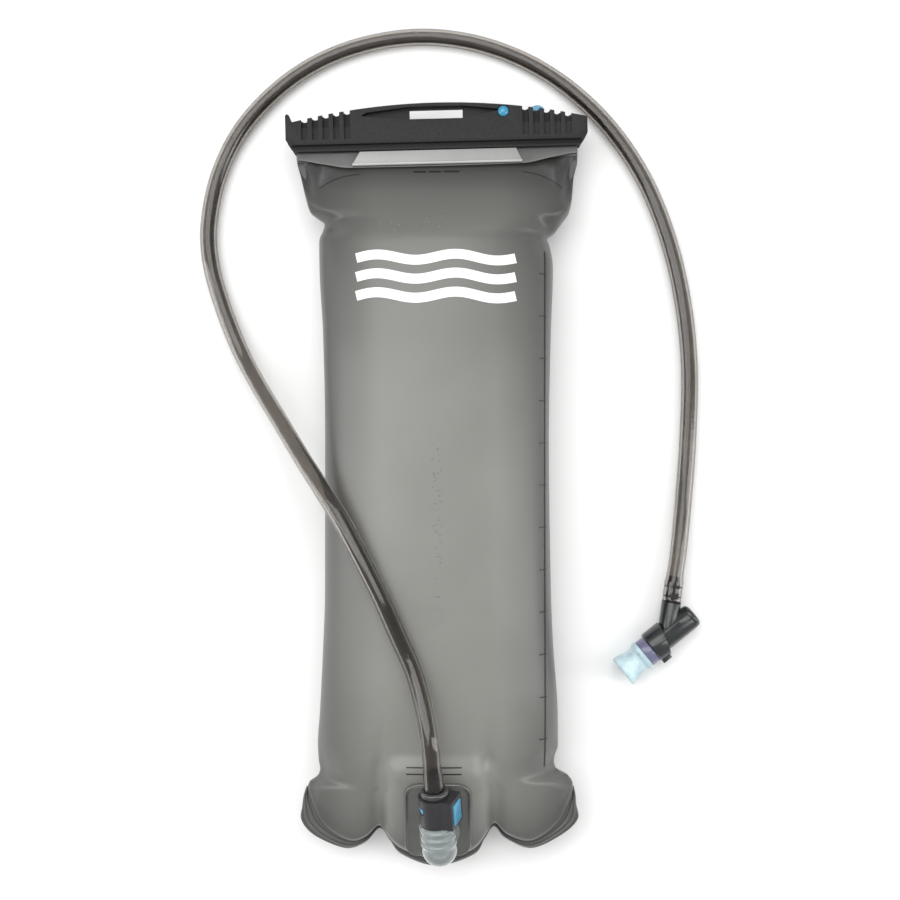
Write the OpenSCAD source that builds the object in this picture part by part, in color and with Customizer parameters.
// Hydration bladder with a fold-over slide closure, drink hose and bite valve.
// The filled bag lies on its back: +Z is up, +Y points to the closure, z = 0 is the
// surface it lies on, and the origin is under the middle of the bag. All sizes in mm.

/* [Bag] */
// Thickness of the filled bag
bag_t = 61; // [60:1:63]
// Height of the end welds above the surface
seam_z = 24; // [23:1:25]
// How square the front of the bag is across (2 is an ellipse)
front_square = 2.4; // [2.2:0.1:3]
// Thickness of the end weld band
weld_t = 1.2; // [0.8:0.1:2]

/* [Slide closure] */
// Length of the slider
slider_l = 164; // [162:1:166]
// Thickness of the slider
slider_t = 13.6; // [13:0.2:15]
// Distance from the bag's middle to the slider's middle
slider_y = 195.5; // [195:0.5:196]
// How far the slider sits out of square, in degrees
slider_tilt = 1.5; // [0:0.5:2]
// Length of the hang slot
hang_slot_l = 29; // [24:1:34]
// Height of the hang slot
hang_slot_h = 5.6; // [5:0.2:6]
// Gap between the slider and the folded film that it rides on
slide_gap = 0.3; // [0.2:0.05:0.4]

/* [Port] */
// Slope of the bag's front under the port, in degrees
port_slope = 26; // [24:1:28]
// How far the elbow is swung off the bag's length, in degrees
port_swivel = 4.5; // [0:0.5:6]
// Rise of the outlet above level, in degrees
outlet_rise = 18; // [16:1:20]
// Outer radius of the elbow
elbow_r = 9; // [8.8:0.1:9.2]
// Outer radius of the spigot that the connector plugs on to
spigot_r = 5.9; // [5.8:0.05:6]
// Radius of the connector housing
housing_r = 8.7; // [8.6:0.1:8.9]
// Length of the connector housing
housing_l = 16; // [15.5:0.5:18]
// How far the connector is rolled, so that its button looks up, in degrees
connector_roll = 22; // [0:1:30]

/* [Hose] */
// Outer diameter of the hose
hose_d = 9.5; // [9:0.1:9.6]
// Inner diameter of the hose
hose_bore_d = 6.35; // [6:0.05:6.5]

/* [Bite valve] */
// Radius of the valve body
valve_r = 6.8; // [6.6:0.05:6.9]
// Outer radius of the shut-off sleeve
sleeve_r = 9.2; // [9:0.1:9.4]
// Length of the silicone mouthpiece
mouth_l = 15.6; // [14:0.2:17]

/* [Hidden] */

$fn = 96;
eps = 0.01;

// Bag: each row is [y, half width, front rise, back drop], the last two as shares
belly_drop = 27;        // the back would hang this far below the welds; the surface flattens it
back_square = 3;
bag_rows = [[-205.5, 9, 0.12, 0.10], [-200.5, 19.5, 0.33, 0.27], [-191.5, 33, 0.446, 0.45],
            [-185, 58, 0.536, 0.62], [-179, 69, 0.613, 0.76], [-173, 72, 0.69, 0.87],
            [-163.5, 71, 0.84, 0.98], [-154.5, 65, 0.95, 1.02], [-141, 64.5, 0.98, 1.04],
            [-117, 64, 0.99, 1.04], [-78, 63, 1, 1.04], [-20, 61.5, 1, 1.04],
            [40, 61, 1, 1.04], [88, 62, 0.995, 1.03], [113, 62.5, 0.975, 1.0],
            [129.5, 62.5, 0.9, 0.94], [142, 65, 0.74, 0.82], [153, 71, 0.53, 0.64],
            [163.5, 74, 0.31, 0.43], [173, 76, 0.14, 0.22], [181, 77, 0.058, 0.08]];
bag_end_y = 181;
film_segs = 14;         // points round one half of the bag
row_steps = 2;          // rings from one row of the table to the next

// Fold and flap, in the slider's own frame
fold_half_l = 77;
fold_half_t = 1.6;
bead_r = 3.5;
bead_y = -4;
flap_root_y = -12.8;
flap_tip_y = -22;
flap_rise = 5.2;
flap_t = 1.2;

// Slider, in its own frame
slider_low = -12.2;
slider_crown = 12.4;
crown_r = 360;
lip_y = -8.8;
lip_half_t = 4.6;
groove_w = 2.3;
groove_half_t = 3.2;
slot_y = 4.6;
handle_half_t = 2.8;
handle_y = 3.6;
handle_x = [-42, 31];
handle_pocket = [[-41, 6], [-14.5, 3.6], [14.5, 3.6], [34, 7.4], [34, 8.2], [14.5, 10.4],
                 [-14.5, 10.4], [-38, 7.8]];
rib_pitch = 5.8;
rib_first = 48.5;
rib_pockets = 5;
tether_x = 36.5;
tether_y = 7.0;
loop_x = 55.2;

// Port: the plate's plane passes through plate_edge with the slope given above
plate_edge = [0, -155, 59.15];
plate_w = 36;
plate_l = 48;
plate_t = 1.6;
plate_corner_r = 8;
port_x = 2;
port_y = -182.5;
port_base = [port_x, port_y,
             plate_edge[2] + (port_y - plate_edge[1]) * tan(port_slope) + plate_t / cos(port_slope)];
riser_l = 14.4;
outlet_bend = 90 + port_slope - outlet_rise;
outlet_l = 16;          // from the elbow's corner to the face that the connector meets
spigot_l = 12.5;
chamber_r = 3.4;
nose_r = 2.2;
seat_s = 9;             // the poppet's seat, measured from that face
poppet_lift = 3;
oring_s = 5.6;
latch_s = 8.3;
latch_t = 2.4;
latch_r = 7.6;
tail_r = 8.5;
window_x = -3.5;
block_x = 11.8;
block_half_w = 6.6;
button_half_w = 4.6;
button_in = 10.5;
button_out = 12.3;
button_s = 2.2;
button_l = 11.5;
well_x = 8.2;

// Hose route, centre line, from the connector to the bite valve
hose_route = [[-0.5, -158.3, 70.4], [-1.1, -151, 72.7], [-1.7, -144.5, 74.7], [-2.6, -133, 75.8],
              [-4.5, -120.5, 73.8], [-7.5, -108, 70.2], [-12, -94, 67], [-19.5, -77.5, 65.4],
              [-29, -56.5, 64.1], [-39, -37, 61.6], [-49.5, -18, 57], [-60.5, -1.5, 49.5],
              [-72, 15, 39.5], [-85.5, 35.5, 27], [-99.5, 57, 15.5], [-111, 78, 8],
              [-120.5, 102, 5.2], [-126.5, 124.5, 4.9], [-127.5, 146, 4.9], [-122, 173, 4.9],
              [-109.5, 198.5, 4.9], [-89.5, 220.5, 4.9], [-66, 236.5, 4.9], [-39, 246.5, 4.9],
              [-9, 250.5, 4.9], [21.5, 247, 4.9], [50.5, 236.5, 4.9], [76, 220, 4.9],
              [98.5, 197.5, 4.9], [117, 169, 4.9], [130, 136, 4.9], [138, 101, 4.9],
              [141.5, 64, 4.9], [140.5, 23.5, 4.9], [138, -8, 5.7], [135, -35, 8.4],
              [132.6, -51, 9.5], [130.6, -65.5, 9.5]];
hose_sides = 10;

// Bite valve
valve_pos = [119.6, -91, 9.5];
valve_yaw = 219.3;
stem_z = -11;
stem_angle = 137;
stem_l = 18.9;
stem_r = 5.4;
body_back = -27.4;
body_front = -3;
core_r = 4.9;
core_gap = 0.1;
core_back = -26;
core_nose = 6;
core_bore_r = 2.8;
ring_l = 5.2;

// ---- Shared shapes -------------------------------------------------------------------

// A closed skin over rings of points, all with the same count, capped at both ends
module skin(rings) {
    n = len(rings[0]);
    last = len(rings) - 1;
    sides = [for (i = [0:last - 1], j = [0:n - 1])
             let (a = i * n + j, b = i * n + (j + 1) % n, c = a + n, d = b + n)
             each [[a, b, d], [a, d, c]]];
    caps = [[for (j = [n - 1:-1:0]) j], [for (j = [0:n - 1]) last * n + j]];
    polyhedron(points = [for (r = rings) each r], faces = concat(sides, caps), convexity = 6);
}

function unit(v) = v / norm(v);

// Smooth value between b and c, with a and d as the neighbours
function smooth(a, b, c, d, t) =
    0.5 * (2 * b + (c - a) * t + (2 * a - 5 * b + 4 * c - d) * t * t
           + (3 * b - a - 3 * c + d) * t * t * t);

// The rows of a table with smooth rows added between them
function refine(rows, steps) =
    [for (i = [0:len(rows) - 2], s = [0:steps - 1])
        smooth(rows[max(i - 1, 0)], rows[i], rows[i + 1],
               rows[min(i + 2, len(rows) - 1)], s / steps),
     rows[len(rows) - 1]];

// One ring of a round tube: centre p, direction t
function tube_ring(p, t, r, n) =
    let (side = unit(cross(t, [0, 0, 1])), up = cross(side, t))
    [for (k = [0:n - 1]) let (a = 360 * k / n) p + r * (cos(a) * side + sin(a) * up)];

// Rings of a round tube along a path
function tube_rings(path, r, n) =
    [for (i = [0:len(path) - 1])
        tube_ring(path[i], unit(path[min(i + 1, len(path) - 1)] - path[max(i - 1, 0)]), r, n)];

module tube(r_out, r_in, z0, z1) {
    difference() {
        translate([0, 0, z0]) cylinder(r = r_out, h = z1 - z0);
        translate([0, 0, z0 - eps]) cylinder(r = r_in, h = z1 - z0 + 2 * eps);
    }
}

module torus(ring_r, wire_r, z) {
    translate([0, 0, z]) rotate_extrude() translate([ring_r, 0]) circle(r = wire_r, $fn = 32);
}

// A coil spring along z
module coil(r, wire_r, z0, z1, turns) {
    steps = 12 * turns;
    path = [for (i = [0:steps]) let (a = 30 * i)
            [r * cos(a), r * sin(a), z0 + wire_r + (z1 - z0 - 2 * wire_r) * i / steps]];
    skin(tube_rings(path, wire_r, 6));
}

// ---- Bag -----------------------------------------------------------------------------

function power(v, e) = sign(v) * pow(abs(v), e);

// One half of the bag's section: up is 1 for the front film and -1 for the rear one
function half_ring(row, up) =
    let (square = up > 0 ? front_square : back_square,
         reach = up > 0 ? row[2] * (bag_t - seam_z) : row[3] * belly_drop)
    [for (k = [0:film_segs])
        let (a = up > 0 ? 180 * k / film_segs : 180 - 180 * k / film_segs,
             s = k == 0 || k == film_segs ? 0 : power(sin(a), 2 / square))
        [row[1] * power(cos(a), 2 / square), row[0], max(0, seam_z + up * reach * s)]];

module front_film() {
    color("dimgray") skin([for (row = refine(bag_rows, row_steps)) half_ring(row, 1)]);
}

module rear_film() {
    color("gray") skin([for (row = refine(bag_rows, row_steps)) half_ring(row, -1)]);
}

// The end weld: a flat band whose edge runs round two corner ears and a middle lobe
module bottom_weld() {
    color("darkslategray")
    translate([0, 0, seam_z - weld_t / 2])
    difference() {
        union() {
            for (side = [-1, 1])
                translate([50.5 * side, -173.5, 0]) cylinder(r = 25.5, h = weld_t);
            translate([0, -178, 0]) cylinder(r = 30.2, h = weld_t);
        }
        translate([-90, -167.5, -1]) cube([180, 60, weld_t + 2]);
    }
}

// ---- Fold, flap and slider -----------------------------------------------------------

module at_slider() {
    translate([0, slider_y, seam_z]) rotate([0, 0, slider_tilt]) children();
}

// Extrudes a [y, z] outline along x, centred
module along_x(length) {
    rotate([90, 0, 90]) translate([0, 0, -length / 2]) linear_extrude(length) children();
}

// The bag's mouth, folded flat, with the bead that the slider holds
module neck_fold() {
    color("gray") at_slider()
    along_x(2 * fold_half_l) {
        translate([bag_end_y - slider_y - 1, -fold_half_t])
            square([bead_y - (bag_end_y - slider_y) + 1, 2 * fold_half_t]);
        translate([bead_y, 0]) circle(r = bead_r);
    }
}

// The end of the fold, turned forwards over the neck below the slider
module top_flap() {
    color("darkgray") at_slider()
    intersection() {
        along_x(2 * fold_half_l)
            polygon([[flap_root_y, fold_half_t], [flap_tip_y, fold_half_t + flap_rise],
                     [flap_tip_y, fold_half_t + flap_rise + flap_t],
                     [flap_root_y, fold_half_t + flap_t]]);
        linear_extrude(30, center = true)
            polygon([[-77, -10], [-77, -16.5], [-47, flap_tip_y], [47, flap_tip_y], [77, -16.5],
                     [77, -10]]);
    }
}

// The light plate that keeps the flap straight, with a rounded lower lip
module stiffener_plate() {
    slope = atan(flap_rise / (flap_root_y - flap_tip_y));
    plate_low = 9.2;
    color("gainsboro") at_slider()
    translate([0, flap_root_y, fold_half_t + flap_t]) rotate([-slope, 0, 0]) {
        linear_extrude(1)
            polygon([[-42, -0.4], [-46, -plate_low], [46, -plate_low], [43, -0.4]]);
        translate([-46, -plate_low, 0.9]) rotate([0, 90, 0]) cylinder(r = 0.8, h = 92, $fn = 32);
    }
}

module slider_outline() {
    difference() {
        intersection() {
            translate([0, slider_crown - crown_r]) circle(r = crown_r, $fn = 720);
            translate([-slider_l / 2, slider_low])
                square([slider_l, slider_crown - slider_low + 1]);
        }
        for (side = [-1, 1])
            translate([side * slider_l / 2, slider_low])
                polygon([[side, -1], [-4.8 * side, -1], [side, 8]]);
    }
    // upturned tip
    translate([-slider_l / 2, 0])
        polygon([[0, -3], [0, 7.4], [0.9, 8.2], [2.1, 7.6], [3, 4.2], [5.4, 2.2], [5.4, -3]]);
}

// Closure rail: slides off the fold's bead towards +X; its right-hand end is closed
module slider() {
    half_t = slider_t / 2;
    mouth = fold_half_t + slide_gap;
    color([0.13, 0.13, 0.14]) at_slider()
    difference() {
        linear_extrude(slider_t, center = true) slider_outline();
        // channel for the bead and the neck
        translate([-3, 0, 0]) along_x(slider_l) {
            translate([bead_y, 0]) circle(r = bead_r + slide_gap);
            translate([slider_low - 1, -mouth]) square([bead_y - slider_low + 1, 2 * mouth]);
        }
        // hang slot
        translate([-hang_slot_l / 2, slot_y, -half_t - 1]) cube([hang_slot_l, hang_slot_h, slider_t + 2]);
        for (face = [-1, 1]) {
            // stepped-back lip along the mouth, and a deeper groove above it
            translate([-slider_l, slider_low - 1, face > 0 ? lip_half_t : -lip_half_t - 5])
                cube([2 * slider_l, lip_y - slider_low + 1, 5]);
            translate([-slider_l, lip_y - groove_w, face > 0 ? groove_half_t : -groove_half_t - 5])
                cube([2 * slider_l, groove_w, 5]);
            // finger grips, deeper above the channel
            for (side = [-1, 1], i = [0:rib_pockets - 1])
                translate([side * (rib_first + i * rib_pitch) - 1.7, 0, 0]) {
                    translate([0, -6.2, face > 0 ? half_t - 2 : -half_t - 1]) cube([3.4, 22, 3]);
                    translate([0, 0.8, face > 0 ? half_t - 4.6 : -half_t - 1]) cube([3.4, 16, 5.6]);
                }
        }
        // thinner handle round the hang slot: a pocket in the front, a step in the back
        translate([0, 0, handle_half_t]) linear_extrude(5) polygon(handle_pocket);
        translate([handle_x[0], handle_y, -handle_half_t - 5])
            cube([handle_x[1] - handle_x[0], 12, 5]);
        // grip scallops along the top edge
        for (side = [-1, 1], i = [0:rib_pockets - 1])
            let (x = side * (rib_first + i * rib_pitch))
            translate([x, slider_crown - x * x / (2 * crown_r) + 0.9, 0])
                cylinder(r = 1.9, h = slider_t + 2, center = true);
        // seat of the tether button
        translate([tether_x, tether_y, half_t - 3]) cylinder(r = 1.5, h = 4);
        translate([tether_x, tether_y, half_t - 1]) cylinder(r = 3.2, h = 2);
        // notch for the tether loop
        translate([loop_x - 4, 7.4, -2]) cube([8, 8, 4]);
    }
}

// Mushroom button that anchors the tether on the slider's front
module tether_button() {
    floor_z = slider_t / 2 - 1;
    color("deepskyblue") at_slider() translate([tether_x, tether_y, 0]) {
        translate([0, 0, floor_z - 2]) cylinder(r = 1.5, h = 2.2);
        intersection() {
            translate([0, 0, floor_z - 2.2]) sphere(r = 4);
            translate([0, 0, floor_z]) cylinder(r = 2.9, h = 4);
        }
    }
}

// Short loop of the tether where it crosses the slider's top edge
module tether_loop() {
    color("deepskyblue") at_slider()
    translate([loop_x - 4, 7.4, -2]) difference() {
        intersection() {
            cube([8, 3.3, 4]);
            translate([4, -1.3, -1]) cylinder(r = 4.6, h = 6);
        }
        translate([1.6, -1, 1]) cube([4.8, 3, 2]);
    }
}

// ---- Port ----------------------------------------------------------------------------

module at_port() {
    translate(port_base) rotate([port_slope, 0, 0]) rotate([0, 0, port_swivel]) children();
}

// z runs along the outlet, from the elbow's corner
module at_outlet() {
    at_port() translate([0, 0, riser_l]) rotate([-outlet_bend, 0, 0]) children();
}

// z = 0 is the face where the connector meets the elbow
module at_joint() { at_outlet() translate([0, 0, outlet_l]) children(); }

// The same face, with x towards the connector's button
module at_connector() { at_joint() rotate([0, 0, -connector_roll]) children(); }

// Plate welded to the front film
module port_plate() {
    half_w = plate_w / 2 - plate_corner_r;
    half_l = plate_l / 2 - plate_corner_r;
    color([0.45, 0.46, 0.44])
    translate([0, plate_edge[1], plate_edge[2]]) rotate([port_slope, 0, 0])
    translate([port_x - 1, -plate_l / 2, 0])
    difference() {
        union() {
            translate([-half_w, -plate_l / 2, 0]) cube([2 * half_w, plate_l, plate_t]);
            translate([-plate_w / 2, -half_l, 0]) cube([plate_w, 2 * half_l, plate_t]);
            for (x = [-half_w, half_w], y = [-half_l, half_l])
                translate([x, y, 0]) cylinder(r = plate_corner_r, h = plate_t);
        }
        hole_y = plate_l / 2 + (port_y - plate_edge[1] + plate_t * sin(port_slope)) / cos(port_slope);
        translate([1, hole_y, -1]) cylinder(r = 6.2, h = plate_t + 2);
    }
}

// Outline of the elbow's outlet and spigot, from the axis outwards
function outlet_outline() = let (tip = outlet_l + spigot_l, groove_r = spigot_r - 1.7) concat(
    [[0, 0], [elbow_r, 0]],
    [for (i = [2:-1:0]) let (c = outlet_l - 2.4 - 4.2 * i)
        each [[elbow_r, c - 1.2], [elbow_r + 0.8, c - 0.6], [elbow_r + 0.8, c + 0.6],
              [elbow_r, c + 1.2]]],
    [[elbow_r, outlet_l], [spigot_r, outlet_l],
     [spigot_r, outlet_l + oring_s - 1], [groove_r, outlet_l + oring_s - 1],
     [groove_r, outlet_l + oring_s + 1], [spigot_r, outlet_l + oring_s + 1],
     [spigot_r, outlet_l + latch_s - 0.3], [spigot_r - 0.8, outlet_l + latch_s - 0.3],
     [spigot_r - 0.8, outlet_l + latch_s + latch_t + 0.3],
     [spigot_r, outlet_l + latch_s + latch_t + 0.3],
     [spigot_r, tip - 0.5], [spigot_r - 0.5, tip], [0, tip]]);

// Clear elbow with moulded ribs; the connector plugs on to its spigot
module port_elbow() {
    riser_r = elbow_r - 0.4;
    color([0.75, 0.8, 0.8, 0.6])
    difference() {
        union() {
            at_port() rotate_extrude()
                polygon([[0, -3.6], [5.6, -3.6], [5.6, 0], [riser_r + 2, 0], [riser_r + 2, 1.4],
                         [riser_r, 1.4], [riser_r, riser_l], [0, riser_l]]);
            at_outlet() {
                sphere(r = elbow_r + 0.2);
                rotate_extrude() polygon(outlet_outline());
            }
        }
        at_port() translate([0, 0, -4]) cylinder(r = chamber_r - 0.4, h = riser_l + 4);
        at_outlet() {
            sphere(r = chamber_r + 0.4);
            cylinder(r = chamber_r, h = outlet_l + seat_s);
            cylinder(r = nose_r, h = outlet_l + spigot_l + 1);
        }
    }
}

module port_oring() {
    wire_r = 0.85;
    color("black") at_joint() torus(spigot_r + 0.05 - wire_r, wire_r, oring_s);
}

// Spider that holds the poppet's spring
module poppet_cage() {
    color("whitesmoke") at_joint() {
        tube(chamber_r, chamber_r - 0.8, -4, -2.6);
        translate([-chamber_r + 0.5, -0.6, -4]) cube([2 * chamber_r - 1, 1.2, 1.4]);
    }
}

// Shut-off poppet, held open by the connector
module poppet() {
    front = seat_s - 0.1 - poppet_lift;
    color("whitesmoke") at_joint() {
        translate([0, 0, front - 1.5]) cylinder(r = chamber_r - 0.4, h = 1.5);
        translate([0, 0, front - 0.5]) cylinder(r = 1.2, h = spigot_l + 0.3 - front + 0.5);
    }
}

module poppet_spring() {
    color("silver") at_joint() coil(2.4, 0.35, -2.6, seat_s - 1.6 - poppet_lift, 4);
}

// ---- Connector -----------------------------------------------------------------------

module connector_housing() {
    bore_r = spigot_r + 0.1;
    color([0.14, 0.13, 0.15]) at_connector()
    difference() {
        union() {
            translate([0, 0, 0.3]) cylinder(r = housing_r, h = housing_l - 0.3);
            translate([0, -block_half_w, 0.3]) cube([block_x, 2 * block_half_w, housing_l - 0.3]);
        }
        translate([0, 0, -1]) cylinder(r = bore_r, h = 15.2);
        cylinder(r = 4.3, h = housing_l + 1);
        // room for the latch plate and its foot, with a window across the side that its tail is on
        translate([0, 0, latch_s - 0.2]) cylinder(r = latch_r + 0.3, h = latch_t + 0.4);
        translate([-1.7, 0, latch_s - 0.2]) cylinder(r = latch_r + 0.3, h = latch_t + 0.4);
        translate([-housing_r - 1, -housing_r, latch_s - 0.6])
            cube([housing_r + 1 + window_x, 2 * housing_r, latch_t + 1.2]);
        translate([3, -button_half_w - 0.2, latch_s - 0.2])
            cube([well_x - 2, 2 * button_half_w + 0.4, latch_t + 0.4]);
        // well of the button
        translate([well_x, -button_half_w - 0.2, button_s - 0.2])
            cube([6, 2 * button_half_w + 0.4, button_l + 0.4]);
    }
}

// Hose tail held in the housing, with a stop that lifts the poppet
module connector_insert() {
    barb = (hose_bore_d / 2) + 0.5;
    color([0.2, 0.2, 0.22]) at_connector()
    difference() {
        union() {
            translate([0, 0, 13]) cylinder(r = spigot_r - 0.1, h = 1.1);
            translate([0, 0, 13.5]) cylinder(r = 4.2, h = housing_l - 13.5);
            translate([0, 0, housing_l - 0.5]) cylinder(r = hose_bore_d / 2, h = 14);
            for (i = [0:2])
                translate([0, 0, housing_l + 3.2 + 3.4 * i]) cylinder(r1 = barb, r2 = barb - 0.6, h = 2.4);
        }
        translate([0, 0, 14]) cylinder(r = 2.2, h = housing_l);
        for (side = [-1, 1])
            translate([side * 1.9, 0, 12]) cylinder(r = 0.8, h = 3, $fn = 32);
    }
}

module connector_collar() {
    color([0.2, 0.19, 0.21]) at_connector()
    translate([0, 0, housing_l])
    rotate_extrude()
        polygon([[hose_d / 2 + 0.25, 0], [7.4, 0], [7.4, 2.2], [6.6, 3.4], [hose_d / 2 + 0.25, 3.4]]);
}

// Push button on the connector's side
module release_button() {
    color("deepskyblue") at_connector()
    translate([button_in, -button_half_w, button_s])
        cube([button_out - button_in, 2 * button_half_w, button_l]);
}

// Plate behind the button: it rings the spigot, and its tail shows in the housing's window
module latch_plate() {
    color("deepskyblue") at_connector()
    difference() {
        union() {
            translate([0, 0, latch_s]) cylinder(r = latch_r, h = latch_t);
            intersection() {
                translate([0, 0, latch_s]) cylinder(r = tail_r, h = latch_t);
                translate([-20, -20, 0]) cube([20 + window_x - 0.4, 40, 20]);
            }
            translate([5, -button_half_w, latch_s])
                cube([button_in - 5, 2 * button_half_w, latch_t]);
        }
        for (x = [0, 1.7]) translate([x, 0, latch_s - 1]) cylinder(r = spigot_r + 0.35, h = latch_t + 2);
    }
}

module button_spring() {
    color("silver") at_connector()
    translate([well_x, 0, 4.6]) rotate([0, 90, 0])
        coil(1.3, 0.22, 0.02, button_in - well_x - 0.02, 2);
}

// ---- Hose ----------------------------------------------------------------------------

module hose() {
    color([0.35, 0.33, 0.31, 0.8])
    skin(tube_rings(refine(hose_route, 2), hose_d / 2, hose_sides));
}

// ---- Bite valve ----------------------------------------------------------------------

// z runs along the valve towards the mouth, z = 0 is the sleeve's front face
module at_valve() {
    translate(valve_pos) rotate([0, 0, valve_yaw]) rotate([0, 90, 0]) children();
}

// z runs up the hose stem
module at_stem() { at_valve() translate([0, 0, stem_z]) rotate([stem_angle, 0, 0]) children(); }

// Body and barbed hose stem, one moulding
module valve_body() {
    barb = hose_bore_d / 2 + 0.6;
    color([0.1, 0.12, 0.12])
    difference() {
        union() {
            at_valve() translate([0, 0, body_back]) cylinder(r = valve_r, h = body_front - body_back);
            at_stem() {
                translate([0, 0, 4]) cylinder(r = stem_r, h = stem_l - 4.2);
                translate([0, 0, 4]) cylinder(r = hose_bore_d / 2, h = stem_l + 10.5);
                for (i = [0:1])
                    translate([0, 0, stem_l + 3 + 5.5 * i]) cylinder(r1 = barb, r2 = barb - 0.7, h = 4);
            }
        }
        at_valve() translate([0, 0, core_back - 0.2])
            cylinder(r = core_r + core_gap, h = body_front - core_back + 1);
        at_stem() cylinder(r = 2.2, h = stem_l + 20);
        // guide slot on top
        at_valve() translate([-valve_r - 1, -2.8, -21]) cube([2, 2.2, 12]);
    }
}

module valve_end_cap() {
    color([0.12, 0.13, 0.13]) at_valve()
    translate([0, 0, body_back - 3]) {
        rotate_extrude() polygon([[0, 0], [5, 0], [6.3, 0.9], [6.7, 2], [6.7, 3], [0, 3]]);
    }
}

// Turning core: its side window meets the stem when the valve is open
module valve_core() {
    color("whitesmoke") at_valve()
    difference() {
        translate([0, 0, core_back]) cylinder(r = core_r, h = core_nose - core_back);
        translate([0, 0, -19]) cylinder(r = core_bore_r, h = core_nose + 20);
        translate([0, 0, -15.4]) rotate([90, 0, 0]) cylinder(r = 2.3, h = 8);
        for (z = [-22, -6]) tube(core_r + 1, core_r - 1.55, z - 0.95, z + 0.95);
    }
}

module core_orings() {
    color("black") at_valve() for (z = [-22, -6]) torus(core_r + 0.05 - 0.8, 0.8, z);
}

// Quarter-turn collar with a thumb tab; long on the stem's side
module shutoff_sleeve() {
    inner_r = valve_r + 0.3;
    color([0.12, 0.12, 0.11]) at_valve()
    difference() {
        union() {
            rotate_extrude()
                polygon([[inner_r, -10], [sleeve_r, -11.6], [sleeve_r, -0.6], [sleeve_r - 0.6, 0],
                         [core_r, 0], [core_r, -1.6], [inner_r, -1.6]]);
            translate([-3.2, inner_r + 0.6, -5.8]) cube([6.4, 10.4 - inner_r - 0.6, 5.6]);
        }
        translate([-15, -sleeve_r, -12]) rotate([17, 0, 0])
            translate([0, -3, -10]) cube([30, 30, 10]);
    }
}

module mouthpiece_ring() {
    color([0.45, 0.45, 0.6]) at_valve() tube(8, core_r, 0, ring_l);
}

// Soft silicone mouthpiece with a flared end
module mouthpiece() {
    tip = ring_l + mouth_l;
    color([0.6, 0.85, 0.95, 0.7]) at_valve()
    rotate_extrude()
        polygon([[core_r, ring_l], [8.5, ring_l], [8.7, 6], [8.7, 7], [8.3, 7.8], [7.4, 8.6],
                 [7.2, 10.5], [7.5, 13], [8.2, 16], [8.9, tip - 1.8], [8.9, tip - 0.8],
                 [8.3, tip], [0, tip], [0, tip - 3.4], [4.6, tip - 3.4], [core_r, 14],
                 [core_r, ring_l]]);
}

front_film();
rear_film();
bottom_weld();
neck_fold();
top_flap();
stiffener_plate();
slider();
tether_button();
tether_loop();
port_plate();
port_elbow();
port_oring();
poppet_cage();
poppet();
poppet_spring();
connector_housing();
connector_insert();
connector_collar();
release_button();
latch_plate();
button_spring();
hose();
valve_body();
valve_end_cap();
valve_core();
core_orings();
shutoff_sleeve();
mouthpiece_ring();
mouthpiece();
